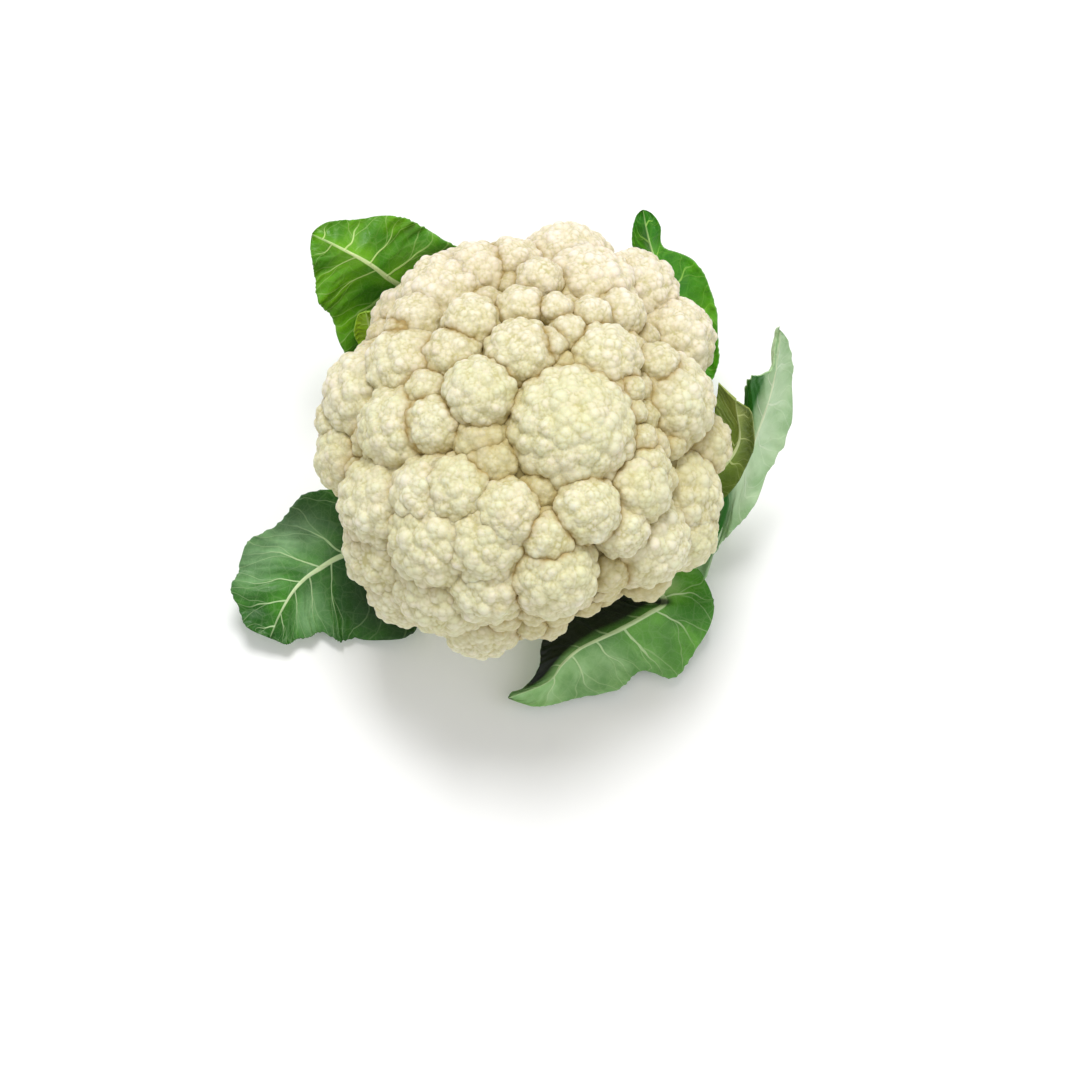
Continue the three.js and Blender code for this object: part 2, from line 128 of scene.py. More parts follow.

# Leaves: readings of the midrib and both edges with a height in mm, base first
# Soft spots are (along, across, size along, size across, strength): bloom is the leaf's waxy coat,
# the other spots are painted shade where a leaf lies in shadow.
LEAVES = [
    {
        "name": "leaf_back_left",
        "slot": "leaf_bright",
        "veins": 7,
        "bloom": [
            (0.45, 0.5, 0.12, 0.3, 0.4),
        ],
        "painted_shade": [(0.34, -0.5, 0.09, 0.5, 0.8)],
        "rib": [7, 1.6],
        "ruffle": [2.2, 4, 0.6],
        "mid": [
            [487, 462, 14], [431, 399, 17], [410, 342, 34], [409, 296, 58],
            [386, 276, 74], [370, 264, 82], [350, 253, 87], [330, 243, 90], [312, 235, 90],
        ],
        "left": [
            [476, 470, 15], [405, 415, 20], [368, 372, 30], [346, 347, 48],
            [331, 322, 61], [319, 298, 72], [314, 281, 79], [313, 261, 86], [309, 243, 89],
        ],
        "right": [
            [498, 456, 15], [462, 392, 22], [470, 330, 40], [468, 262, 66],
            [446, 240, 80], [417, 223, 86], [384, 216, 90], [347, 220, 92], [315, 227, 90],
        ],
    },
    {
        "name": "leaf_back_right",
        "slot": "leaf_bright",
        "finish": "leaf_crisp",
        "veins": 7,
        "bloom": [
            (0.5, 0.6, 0.08, 0.4, 0.2),
            (0.3, 0.0, 0.15, 0.4, 0.4),
        ],
        "rib": [7, 1.4],
        "ruffle": [2.0, 4, 2.1],
        "mid": [
            [560, 466, 14], [608, 420, 17], [652, 378, 26], [680, 345, 38],
            [684, 322, 48], [678, 302, 57], [668, 282, 65], [656, 260, 73], [648, 236, 80],
            [643, 210, 84],
        ],
        "left": [
            [548, 458, 15], [585, 396, 22], [620, 345, 30], [640, 305, 38],
            [645, 290, 46], [642, 276, 53], [638, 262, 61], [634, 247, 70], [633, 226, 79],
            [638, 210, 83],
        ],
        "right": [
            [572, 474, 15], [640, 444, 20], [692, 412, 26], [716, 372, 34],
            [719, 340, 45], [714, 300, 56], [696, 262, 66], [664, 247, 73], [660, 226, 80],
            [649, 208, 84],
        ],
    },
    {
        "name": "leaf_right",
        "slot": "leaf_pale",
        "veins": 8,
        "bloom": [(0.6, 0.3, 0.6, 0.9, 1.0)],
        "painted_shade": [(0.6, -0.95, 0.085, 0.42, 6.0), (0.27, 0.2, 0.07, 0.9, 1.2)],
        "rib": [7, 1.6],
        "ruffle": [1.6, 4, 1.2],
        "mid": [
            [576, 514, 12], [650, 518, 14], [706, 511, 25], [729, 492, 38],
            [741, 470, 48], [751, 447, 58], [760, 423, 67], [768, 398, 77], [774, 372, 87],
            [777, 350, 97], [779, 328, 105],
        ],
        "left": [
            [572, 502, 13], [650, 494, 18], [714, 470, 32], [735, 440, 52],
            [742, 415, 66], [745, 392, 80], [748, 377, 90], [760, 375, 93], [771, 368, 93],
            [774, 345, 99], [778, 327, 105],
        ],
        "right": [
            [572, 526, 11], [650, 545, 10], [700, 580, 12], [712, 556, 16],
            [732, 530, 24], [758, 497, 34], [777, 456, 46], [788, 412, 60], [794, 372, 76],
            [786, 344, 91], [780, 328, 105],
        ],
    },
    {
        "name": "leaf_front_right",
        "slot": "leaf_dark",
        "veins": 8,
        "bloom": [
            (0.78, -0.6, 0.28, 0.7, 1.0),
            (1.0, 0.2, 0.28, 0.9, 0.85),
        ],
        "painted_shade": [(0.52, 0.8, 0.29, 0.47, 5.0), (0.29, 0.0, 0.035, 0.16, 1.2)],
        "finish": "leaf_front",
        "rib": [7, 1.6],
        "ruffle": [1.8, 5, 0.2],
        "mid": [
            [556, 545, 8], [610, 570, 9], [655, 592, 12], [664, 605, 15],
            [649, 614, 17], [623, 628, 17], [600, 639, 16], [579, 649, 15], [562, 664, 13],
            [548, 681, 11], [508, 698, 8],
        ],
        "left": [
            [566, 534, 8], [630, 552, 12], [690, 560, 20], [711, 600, 16],
            [703, 642, 9], [674, 676, 5], [645, 672, 5], [620, 686, 5], [585, 698, 5],
            [548, 704, 5], [518, 706, 6],
        ],
        "right": [
            [547, 556, 8], [592, 576, 9], [618, 582, 10], [604, 590, 10],
            [588, 594, 10], [568, 600, 11], [549, 612, 12], [541, 642, 12], [540, 664, 12],
            [524, 687, 10], [507, 692, 8],
        ],
    },
    {
        "name": "leaf_front_left",
        "slot": "leaf_dark",
        "veins": 7,
        "bloom": [
            (0.42, 0.7, 0.11, 0.38, 1.0),
            (0.62, 0.8, 0.1, 0.3, 0.7),
            (0.62, -0.6, 0.12, 0.4, 0.8),
        ],
        "painted_shade": [(0.26, -0.5, 0.12, 0.9, 0.9), (0.35, 0.9, 0.1, 0.4, 0.5)],
        "rib": [7, 1.6],
        "ruffle": [1.8, 5, 1.7],
        "mid": [
            [464, 521, 12], [425, 532, 13], [380, 544, 15], [341, 556, 17],
            [320, 568, 18], [303, 580, 18], [290, 596, 17], [279, 616, 14], [270, 638, 10],
        ],
        "left": [
            [463, 534, 12], [430, 570, 9], [413, 630, 6], [352, 642, 4],
            [333, 637, 5], [314, 634, 6], [300, 640, 6], [286, 643, 7], [274, 641, 9],
        ],
        "right": [
            [468, 509, 12], [412, 500, 19], [322, 489, 30], [284, 517, 30],
            [251, 541, 27], [236, 572, 22], [233, 594, 18], [243, 621, 13], [262, 637, 10],
        ],
    },
    {
        "name": "leaf_inner_left",
        "slot": "leaf_inner",
        "finish": "leaf_young",
        "veins": 7,
        "bloom": [(0.8, 0.9, 0.3, 0.4, 0.3)],
        "rib": [5, 1.2],
        "ruffle": [2.0, 3, 0.4],
        "small": True,
        "mid": [[478, 448, 26], [430, 400, 33], [390, 352, 47], [372, 331, 62], [366, 312, 72]],
        "left": [[470, 454, 27], [415, 412, 33], [375, 366, 47], [355, 338, 61], [358, 311, 72]],
        "right": [[486, 442, 27], [445, 388, 35], [412, 342, 50], [394, 318, 64], [374, 309, 73]],
    },
    {
        "name": "leaf_inner_right",
        "slot": "leaf_inner",
        "veins": 7,
        "bloom": [(1.0, 0.0, 0.2, 1.0, 0.5)],
        "painted_shade": [(0.75, 0.9, 0.35, 0.6, 0.5)],
        "rib": [5, 1.2],
        "ruffle": [1.6, 3, 1.9],
        "small": True,
        "mid": [[572, 498, 27], [640, 492, 34], [706, 478, 46], [738, 444, 62], [736, 402, 86]],
        "left": [[568, 488, 28], [640, 470, 38], [704, 440, 56], [716, 408, 78], [717, 379, 94]],
        "right": [[572, 508, 28], [642, 512, 34], [718, 500, 42], [752, 455, 58], [752, 406, 84]],
    },
]

# Leaf blades: rows and columns of points, sizes in mm, shares of the half width
RUFFLED_HALF = 25.0
LEAF_ROWS = 110
LEAF_COLUMNS = 27
SMALL_ROWS = 48
SMALL_COLUMNS = 12
BLADE = 0.9
INNER_CLEAR = 2.0
OUTER_CLEAR = 5.5
PUCKER = 0.45
CURLS = 13
NOTCHES = 21
SWEEP = 0.04
TIP_FROM = 0.95
CUP = 0.22
SIDE_SHIFT = 0.37
EDGE_WAVE = 0.04
NOTCH_DEPTH = 0.012
CURL_SHARE = 0.38
STALK_CLEAR = 0.3
FLORET_MARGIN = 1.09
CORE_MARGIN = 1.04

# Stalk and branches, in mm
SCARS = 7
BRANCHED_FROM = 45.0
BRANCHED_BELOW = 16.0
BRANCH_ROOT = 15.0
BRANCH_LIFT = 6.0
BRANCH_RADIUS = 6.5
BRANCH_SHARE = 0.62
BRANCH_SAG = 3.0
CORE_POINTS = 7000
SCAR_DEPTH = 0.6
STALK_SIDES = 120
STALK_RINGS = 50
CUT_RINGS = 16
STALK_Z = [0, 1.2, 9, 14, 20, 27, 35]
STALK_R = [21.4, 22.3, 22.6, 22.2, 22.9, 22.5, 23.0]

# Studio light: places and sizes in metres, power in watts
WORLD_LIGHT = 0.5
LIGHTS = [
    ("key", (-0.05, 0.45, 1.3), 12.9, 0.5),
    ("left", (-0.7, -0.8, 0.8), 1.9, 0.9),
    ("right", (0.8, -0.5, 0.7), 3.0, 0.9),
]


def seen_at(across, down):
    """Where a reading meets the plane through the curd's middle, square to the line of sight."""
    side = (across - MIDDLE[0]) * READING
    up = (MIDDLE[1] - down) * READING
    return CENTRE + np.array([side, 0.0, 0.0]) + UPWARDS * up


def place(reading):
    """Where a reading lies at a given height."""
    across, down, height = reading
    seen = seen_at(across, down)
    return EYE + (seen - EYE) * (height - EYE[2]) / (seen[2] - EYE[2])


def floret_centre(across, down, radius, proud):
    """The centre of a floret, where its line of sight first meets the curd's dome."""
    size = radius * READING
    half = CURD_HALF + (proud - 0.75 * size)
    start = (EYE - CENTRE) / half
    along = (seen_at(across, down) - EYE) / half
    a, b, c = along @ along, start @ along, start @ start - 1
    t = (-b - math.sqrt(max(0.0, b * b - a * c))) / a
    return (start + along * t) * half


def floret_ball(centre, size, fullness=FULLNESS):
    """The ball whose cap makes a floret of a given size, its top where the floret's is."""
    length = np.linalg.norm(centre)
    return centre * (1 - (fullness - 1) * size / length), fullness * size, size


def wobble(i, k):
    """A fixed share from 0 to 1 for a pair of numbers, the same in the part's source."""
    s = math.sin(i * 12.9898 + k * 78.233) * 43758.5453
    return s - math.floor(s)


def spread(count, low=-1.0):
    """Even directions from the pole down to a lowest height, by the golden angle."""
    k = np.arange(count)
    z = 1 - (1 - low) * (k + 0.5) / count
    ring = np.sqrt(np.maximum(0, 1 - z * z))
    return np.stack([ring * np.cos(GOLDEN * k), ring * np.sin(GOLDEN * k), z], axis=1)


def turned(axis):
    """The shortest turn that takes +Z to an axis, as rows to multiply directions by."""
    x, y, z = axis
    v = np.array([-y, x, 0.0])
    cross = np.array([[0, -v[2], v[1]], [v[2], 0, -v[0]], [-v[1], v[0], 0]])
    return (np.eye(3) + cross + cross @ cross / (1 + z)).T


def main_florets():
    """The balls of all main florets: centre from the curd's middle, and radius."""
    found = []
    for across, down, radius, proud, *fullness in FLORETS:
        centre = floret_centre(across, down, radius, proud)
        nearer = DISTANCE / (DISTANCE - centre @ TOWARDS)
        found.append(floret_ball(centre, radius * READING / nearer, *fullness))

    def add_clear(d, size, sunk, share):
        if math.acos(d[2]) > HIDDEN_LOWEST:
            return
        ball = floret_ball(d * (CURD_HALF - 0.75 * size - sunk), size)
        if all(np.linalg.norm(c - ball[0]) > share * (s + size) for c, r, s in found):
            found.append(ball)

    for k, d in enumerate(spread(HIDDEN_TRIES)):
        if d @ TOWARDS <= HIDDEN_BEHIND:
            add_clear(d, HIDDEN_RADIUS * (0.8 + 0.4 * wobble(k, 1)), HIDDEN_SUNK, HIDDEN_APART)
    for k, d in enumerate(spread(FILL_TRIES)):
        sunk = FOOT_SUNK if d @ FOOT_AXIS > FOOT_SPREAD else FILL_SUNK
        add_clear(d, FILL_RADIUS * (0.7 + 0.6 * wobble(k, 7)), sunk, FILL_APART)
    return [(centre, radius) for centre, radius, size in found]


def buds_of(centre, radius, index):
    """Buds over a floret's outer side: centres from the floret's own middle, and radii."""
    axis = centre + BUD_AIM
    turn = turned(axis / np.linalg.norm(axis))
    scale = radius / TYPICAL_RADIUS
    count = max(FEWEST_BUDS, math.floor(BUDS * scale**1.7 + 0.5))
    k = np.arange(count)
    z = 1 - BUD_SPAN * (k + 0.5) / count
    ring = np.sqrt(1 - z * z)
    a = GOLDEN * k + 2 * math.pi * wobble(index, 2)
    d = np.stack([ring * np.cos(a), ring * np.sin(a), z], axis=1) @ turn
    size = np.array([0.75 + 0.5 * wobble(index, n + 3) for n in range(count)])
    size *= BUD_RADIUS * scale**0.4
    return d * (radius - BUD_SUNK * size)[:, None], size, d


def reach(directions, centres, radii):
    """How far a union of balls reaches from the origin along each direction."""
    return top_balls(directions, centres, radii)[0]


def top_balls(directions, centres, radii):
    """The farthest reach of a union of balls, how much it tops the next ball's, and which it is."""
    rows = np.arange(len(directions))
    best, second = np.zeros(len(rows)), np.zeros(len(rows))
    which = np.zeros(len(rows), int)
    for start in range(0, len(centres), 256):
        c, r = centres[start:start + 256], radii[start:start + 256]
        b = directions @ c.T
        inside = b * b - (np.sum(c * c, axis=1) - r * r)
        out = np.where(inside > 0, b + np.sqrt(np.maximum(inside, 0)), 0)
        first = out.argmax(axis=1)
        high = out[rows, first]
        out[rows, first] = 0
        second = np.maximum(np.minimum(best, high), np.maximum(second, out.max(axis=1)))
        which = np.where(high > best, first + start, which)
        best = np.maximum(best, high)
    return best, best - second, which


def hull_faces(directions):
    """Triangles between directions spread over the ball, all facing out."""
    bm = bmesh.new()
    verts = [bm.verts.new(d) for d in directions]
    bm.verts.index_update()
    bmesh.ops.convex_hull(bm, input=verts, use_existing_faces=False)
    faces = np.array([[v.index for v in f.verts] for f in bm.faces if len(f.verts) == 3])
    bm.free()
    a, b, c = (directions[faces[:, i]] for i in range(3))
    inward = np.einsum("ij,ij->i", np.cross(b - a, c - a), a + b + c) < 0
    faces[inward] = faces[inward][:, ::-1]
    return faces


def make_object(name, points, faces, attributes, node, material):
    """A mesh object in metres from points in millimetres, with per-point attributes."""
    mesh = bpy.data.meshes.new(name)
    mesh.from_pydata((points * MM).tolist(), [], [list(map(int, f)) for f in faces])
    mesh.validate()
    for key, values in attributes.items():
        values = np.asarray(values, float)
        kind = "FLOAT" if values.ndim == 1 else "FLOAT_VECTOR"
        layer = mesh.attributes.new(key, kind, "POINT")
        layer.data.foreach_set("value" if kind == "FLOAT" else "vector", values.ravel())
    mesh.shade_smooth()
    obj = bpy.data.objects.new(name, mesh)
    bpy.context.scene.collection.objects.link(obj)
    mesh.materials.append(material)
    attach(obj, "root")
    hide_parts(node)
    return obj


def joined(index):
    """Whether a floret is one of those grown together into a larger mass."""
    return index < len(FLORETS) and len(FLORETS[index]) > 4


def shaded(index):
    """How much painted shade darkens and yellows a floret where it lies sunk between larger ones."""
    return SUNK_SHADE if index < len(FLORETS) and FLORETS[index][3] <= SUNK_FROM else 0.0


def make_floret(index, florets):
    """Points, faces and attributes of one floret: grains on buds on a ball."""
    centre, radius = florets[index]
    rng = np.random.default_rng(1000 + index)
    bud_centres, bud_radii, bud_axes = buds_of(centre, radius, index)
    cap = spread(GRAINS, 0.1)
    grain_centres, grain_radii = [], []
    for c, r, d in zip(bud_centres, bud_radii, bud_axes):
        spin = Matrix.Rotation(rng.uniform(0, 2 * math.pi), 3, "Z")
        size = GRAIN_SHARE * r * rng.uniform(0.85, 1.12, GRAINS)
        g = cap @ np.array(spin) @ turned(d) + rng.normal(0, GRAIN_JITTER, (GRAINS, 3))
        grain_centres.append(c + g * (r - size + GRAIN_RISE * rng.uniform(0.4, 1.3, GRAINS))[:, None])
        grain_radii.append(size)
    core = CORE_SHARE * radius
    skin = spread(int(SKIN_GRAINS * radius**2))
    size = SKIN_GRAIN * rng.uniform(0.85, 1.15, len(skin))
    skin = skin + rng.normal(0, SKIN_JITTER / radius, skin.shape)
    grain_centres.append(skin * (core + SKIN_PROUD - size)[:, None])
    grain_radii.append(size)
    grain_centres = np.concatenate(grain_centres)
    grain_radii = np.concatenate(grain_radii)
    count = int(4 * math.pi * radius**2 * 1.2 / (0.87 * SKIN_STEP**2))
    d = spread(count)
    buds = np.maximum(reach(d, bud_centres, bud_radii - BUD_BASE), core)
    grains, above, grain_of = top_balls(d, grain_centres, grain_radii)
    far = np.maximum(buds, grains)
    crease_shade = np.exp(-np.where(grains > buds, above, 0) / CREASE_WIDTH)
    place_of = centre + d * far[:, None]
    nearest = np.full(count, 1e9)
    buried = np.linalg.norm(place_of / CURD_HALF, axis=1) < CORE_HIDES
    for other, (c, r) in enumerate(florets):
        if other == index or np.linalg.norm(c - centre) > r + radius + NEIGHBOUR:
            continue
        gap = np.linalg.norm(place_of - c, axis=1) - r
        ease = JOINED_EASE if joined(index) and joined(other) else 0.0
        nearest = np.minimum(nearest, gap + ease)
        buried |= gap < -0.16 * r - 0.6
    keep = ~buried
    keep[::BURIED_KEPT] = True
    d, far, nearest, crease_shade = d[keep], far[keep], nearest[keep], crease_shade[keep]
    place_of = place_of[keep]
    luck = rng.uniform(0, 1, len(grain_centres))[grain_of[keep]]
    # How deep a point lies under the dome, the mask for painted shade in the deeper parts.
    depth = 1 - np.linalg.norm(place_of / (CURD_HALF + 2), axis=1)
    # Masks for painted shade: creases between grains, hollows between buds from each point's height
    # above the core, and crevices where florets meet.
    relief = np.stack([
        crease_shade,
        np.clip((far - core) / (0.1 * radius + 0.4), 0, 1),
        np.exp(-np.maximum(nearest, 0) / CREVICE_WIDTH),
    ], axis=1)
    spot = np.stack([
        np.full(len(d), rng.uniform(0, 1)), luck, np.clip(depth * 4 + shaded(index), 0, 1),
    ], axis=1)
    return place_of + CENTRE, hull_faces(d), relief, spot


def build_florets(material):
    """Florets joined into sectors round the head, so that each piece stays a fair size."""
    florets = main_florets()
    groups = [[] for _ in range(SECTORS + 1)]
    for index, (centre, radius) in enumerate(florets):
        turn = math.atan2(centre[1], centre[0]) / (2 * math.pi) % 1
        crown = np.hypot(centre[0], centre[1]) < CROWN_REACH
        groups[SECTORS if crown else int(turn * SECTORS)].append(index)
    for number, group in enumerate(groups):
        points, faces, relief, spot, base = [], [], [], [], 0
        for index in group:
            p, f, r, s = make_floret(index, florets)
            points.append(p)
            faces.append(f + base)
            relief.append(r)
            spot.append(s)
            base += len(p)
        faces = np.concatenate(faces)
        make_object(
            f"florets_{number + 1}", np.concatenate(points), faces,
            {"relief": np.concatenate(relief), "spot": np.concatenate(spot)},
            "curd", material,
        )
    return florets


def make_camera():
    """The camera that the shape was measured from."""
    data = bpy.data.cameras.new("camera")
    data.sensor_width = 36.0
    data.lens = 36.0 * DISTANCE / (FRAME_SIZE * READING)
    data.shift_x = (FRAME_SIZE / 2 - MIDDLE[0]) / FRAME_SIZE
    data.shift_y = (MIDDLE[1] - FRAME_SIZE / 2) / FRAME_SIZE
    data.clip_start = 0.01
    camera = bpy.data.objects.new("camera", data)
    camera.location = EYE * MM
    camera.rotation_euler = (math.pi / 2 - RISE, 0, 0)
    bpy.context.scene.collection.objects.link(camera)
    bpy.context.scene.camera = camera


def core_reach(d):
    """The branching mass inside: a dome, and under it a ribbed cone down to the stalk."""
    dome = DOME_SHARE / np.linalg.norm(d / CURD_HALF, axis=1)
    side = np.hypot(d[:, 0], d[:, 1])
    slope = (RIM_Z - CURD_FOOT) / (RIM_RADIUS - STALK_RADIUS)
    foot = CURD_FOOT - CENTRE[2]
    fall = d[:, 2] - slope * side
    ribs = 1 + 0.05 * np.cos(BRANCHES * np.arctan2(d[:, 1], d[:, 0])) * np.minimum(1, 1.6 * side)
    under = fall < 0
    cone = np.where(under, (foot - slope * STALK_RADIUS) / np.where(under, fall, -1) * ribs, 1e9)
    flat = np.where(d[:, 2] < 0, foot / np.where(d[:, 2] < 0, d[:, 2], -1), 1e9)
    return np.minimum(dome, np.minimum(cone, flat))


def tube(start, end, start_radius, end_radius, bow, rings=9, sides=14):
    """A closed tapering branch between two points, bowed along a vector."""
    axis = end - start
    axis /= np.linalg.norm(axis)
    across = np.cross(axis, [0.0, 0.0, 1.0])
    across /= np.linalg.norm(across)
    other = np.cross(axis, across)
    points = []
    for i in range(rings):
        t = i / (rings - 1)
        middle = start + (end - start) * t + bow * math.sin(math.pi * t)
        radius = start_radius + (end_radius - start_radius) * t**1.5
        for j in range(sides):
            a = 2 * math.pi * j / sides
            flute = 1 + 0.06 * math.sin(5 * a + 3 * t)
            points.append(middle + (across * math.cos(a) + other * math.sin(a)) * radius * flute)
    faces = []
    for i in range(rings - 1):
        for j in range(sides):
            a, b = i * sides + j, i * sides + (j + 1) % sides
            faces.append((a, b, b + sides, a + sides))
    faces.append(tuple(range(sides - 1, -1, -1)))
    faces.append(tuple((rings - 1) * sides + j for j in range(sides)))
    return np.array(points), faces


def build_branches(florets, material):
    """The core of the curd and a thick branch to every floret that shows from below."""
    d = spread(CORE_POINTS)
    points = CENTRE + d * core_reach(d)[:, None]
    faces = [tuple(f) for f in hull_faces(d)]
    # Painted shade on the core's dome, which shows in the gaps between florets.
    shade = np.clip((points[:, 2] - RIM_Z + 6) / 12, 0, 1)
    make_object("curd_core", points, faces, {"shade": shade}, "curd", material)
    points, faces, base = [], [], 0
    for index, (centre, radius) in enumerate(florets):
        side = math.hypot(centre[0], centre[1])
        if side < BRANCHED_FROM or centre[2] > BRANCHED_BELOW:
            continue
        out = np.array([centre[0], centre[1], 0.0]) / side
        start = out * BRANCH_ROOT + [0, 0, STALK_TOP + BRANCH_LIFT]
        end = centre + CENTRE - out * 0.3 * radius
        bow = np.array([0, 0, -BRANCH_SAG]) - out * 0.5 * BRANCH_SAG
        p, f = tube(start, end, BRANCH_RADIUS, BRANCH_SHARE * radius, bow)
        points.append(p)
        faces += [tuple(v + base for v in face) for face in f]
        base += len(p)
    make_object("branches", np.concatenate(points), faces, {}, "curd", material)


def curve(readings, t):
    """A smooth curve through placed readings, at shares of its length from 0 to 1."""
    p = np.array([place(r) for r in readings])
    p = np.vstack([2 * p[0] - p[1], p, 2 * p[-1] - p[-2]])
    s = np.clip(t, 0, 1) * (len(readings) - 1)
    i = np.minimum(s.astype(int), len(readings) - 2)
    w = (s - i)[:, None]
    a, b, c, d = p[i], p[i + 1], p[i + 2], p[i + 3]
    return b + 0.5 * w * (c - a + w * (2 * a - 5 * b + 4 * c - d + w * (3 * b - a - 3 * c + d)))


def unit(v):
    """Vectors along the last axis, brought to length 1."""
    return v / np.linalg.norm(v, axis=-1, keepdims=True)


def clear_of(points, florets, clear):
    """Leaf points kept off the curd and off the stalk."""
    start = points - CENTRE
    length = np.linalg.norm(start, axis=1)
    d = start / length[:, None]
    centres = np.array([c for c, r in florets])
    radii = np.array([r for c, r in florets]) * FLORET_MARGIN
    far = np.maximum(core_reach(d) * CORE_MARGIN, reach(d, centres, radii)) + clear
    points = CENTRE + d * np.maximum(length, far)[:, None]
    side = np.hypot(points[:, 0], points[:, 1])
    points[:, :2] *= (np.maximum(side, STALK_RADIUS + STALK_CLEAR) / side)[:, None]
    return points


def vein_count(t, v, leaf):
    """How many side veins lie between the base and a point, veins falling on the halves."""
    phase = leaf["ruffle"][2]
    sway = 0.13 * np.sin(5.1 * v + 9 * t + phase) + 0.05 * np.sin(11 * v - 17 * t + 2 * phase)
    return leaf["veins"] * (t - SWEEP * v * v) + np.where(v < 0, 0.5, 0.0) + sway * np.abs(v)


def soft_spots(t, v, spots):
    """A tone from soft spots of (t, v, size along, size across, strength)."""
    total = np.zeros(t.shape)
    for at, side, long, wide, strength in spots:
        total += strength * np.exp(-(((t - at) / long) ** 2) - ((v - side) / wide) ** 2)
    return np.clip(total, 0, 1)


def make_leaf(leaf, florets, material):
    """A ruffled blade through the midrib and both edges, with its ribs and cords."""
    small = leaf.get("small", False)
    rows, columns = (SMALL_ROWS, SMALL_COLUMNS) if small else (LEAF_ROWS, LEAF_COLUMNS)
    t = np.linspace(0, 1, rows + 1)
    mid = curve(leaf["mid"], t)
    left = curve(leaf["left"], t)
    right = curve(leaf["right"], t)
    ahead = curve(leaf["mid"], t + 1e-4) - curve(leaf["mid"], t - 1e-4)
    up = unit(np.cross(right - left, ahead))[:, None]
    t, v = np.meshgrid(t, np.linspace(-1, 1, 2 * columns + 1), indexing="ij")
    edge = np.where(v[..., None] < 0, left[:, None], right[:, None])
    half = np.linalg.norm(edge - mid[:, None], axis=2)
    amount, waves, phase = leaf["ruffle"]
    blade = np.clip(5 * t - 0.6, 0, 1)
    wide = np.abs(v)
    side = SIDE_SHIFT * np.sign(v)
    wave = np.sin(2 * math.pi * (waves * t + side) + phase)
    curl = np.sin(2 * math.pi * (CURLS * t + side) + 3 * phase + 2 * wave)
    notch = NOTCH_DEPTH * np.sin(2 * math.pi * (NOTCHES * t + side) + 4 * curl) * wide**3
    tip = np.sqrt(np.clip(1 - (np.maximum(0, t - TIP_FROM) / (1 - TIP_FROM)) ** 2, 0, 1))
    share = (wide * (1 + EDGE_WAVE * blade * wave) + blade * notch) * np.maximum(0.08, tip)
    points = mid[:, None] + (edge - mid[:, None]) * share[..., None]
    veins = vein_count(t, v, leaf)
    vein = veins - np.floor(veins) - 0.5
    pucker = (1 - (2 * np.abs(vein)) ** 3) * np.sin(math.pi * np.minimum(1, 1.1 * wide)) ** 0.7
    waved = wide**2 * wave + CURL_SHARE * wide**3 * curl
    ripple = amount * np.minimum(1, half / RUFFLED_HALF) * waved
    puckers = PUCKER * (1 - 2 * pucker) * (0.4 if small else 1)
    lift = -CUP * half * wide * (1 - wide) + ripple + puckers
    points = points + up * (blade * lift)[..., None]
    shape = points.shape
    clear = INNER_CLEAR if small else OUTER_CLEAR
    points = clear_of(points.reshape(-1, 3), florets, clear).reshape(shape)
    rib = leaf["rib"][0] * (1 - t) ** 1.6 + leaf["rib"][1] * t
    away = wide * half
    near = np.maximum(0, 1 - (away / (leaf["rib"][0] * (1.25 - t))) ** 2)
    cord = np.exp(-((vein * 9) ** 2)) * np.maximum(0, 1 - 1.1 * wide) * blade
    thin = 0.5 * BLADE
    above = thin + 0.1 * rib * near - 0.12 * cord
    below = thin + 0.55 * rib * near + 0.45 * cord
    upper = (points + up * above[..., None]).reshape(-1, 3)
    lower = (points - up * below[..., None]).reshape(-1, 3)
    count, width = len(upper), 2 * columns + 1
    faces = []
    for i in range(rows):
        a = i * width
        for j in range(2 * columns):
            quad = (a + j, a + j + 1, a + width + j + 1, a + width + j)
            faces.append(quad)
            faces.append(tuple(count + q for q in reversed(quad)))
        faces.append((a, a + width, count + a + width, count + a))
        b = a + width - 1
        faces.append((b + width, b, count + b, count + b + width))
    for j in range(2 * columns):
        end = rows * width + j
        faces.append((j + 1, j, count + j, count + j + 1))
        faces.append((end, end + 1, count + end + 1, count + end))
    place_on = np.stack([t, v, away * 0.01], axis=2).reshape(-1, 3)
    # Spots of bloom, and spots of painted shade where the leaf lies in the curd's shadow.
    bloom, painted_shade = (soft_spots(t, v, leaf.get(kind, [])) for kind in ("bloom", "painted_shade"))
    tone = np.stack([bloom, veins, painted_shade], axis=2).reshape(-1, 3)
    attributes = {
        "leaf": np.concatenate([place_on, place_on]),
        "tone": np.concatenate([tone, tone]),
        "under": np.concatenate([np.zeros(count), np.ones(count)]),
    }
    points = np.concatenate([upper, lower])
    name = leaf["name"]
    make_object(name + "_blade", points, faces, attributes, name, material)


def color(red, green, blue):
    """A colour given in display values from 0 to 255, as linear light."""
    shares = (c / 255 for c in (red, green, blue))
    return tuple(c / 12.92 if c < 0.04045 else ((c + 0.055) / 1.055) ** 2.4 for c in shares) + (1.0,)


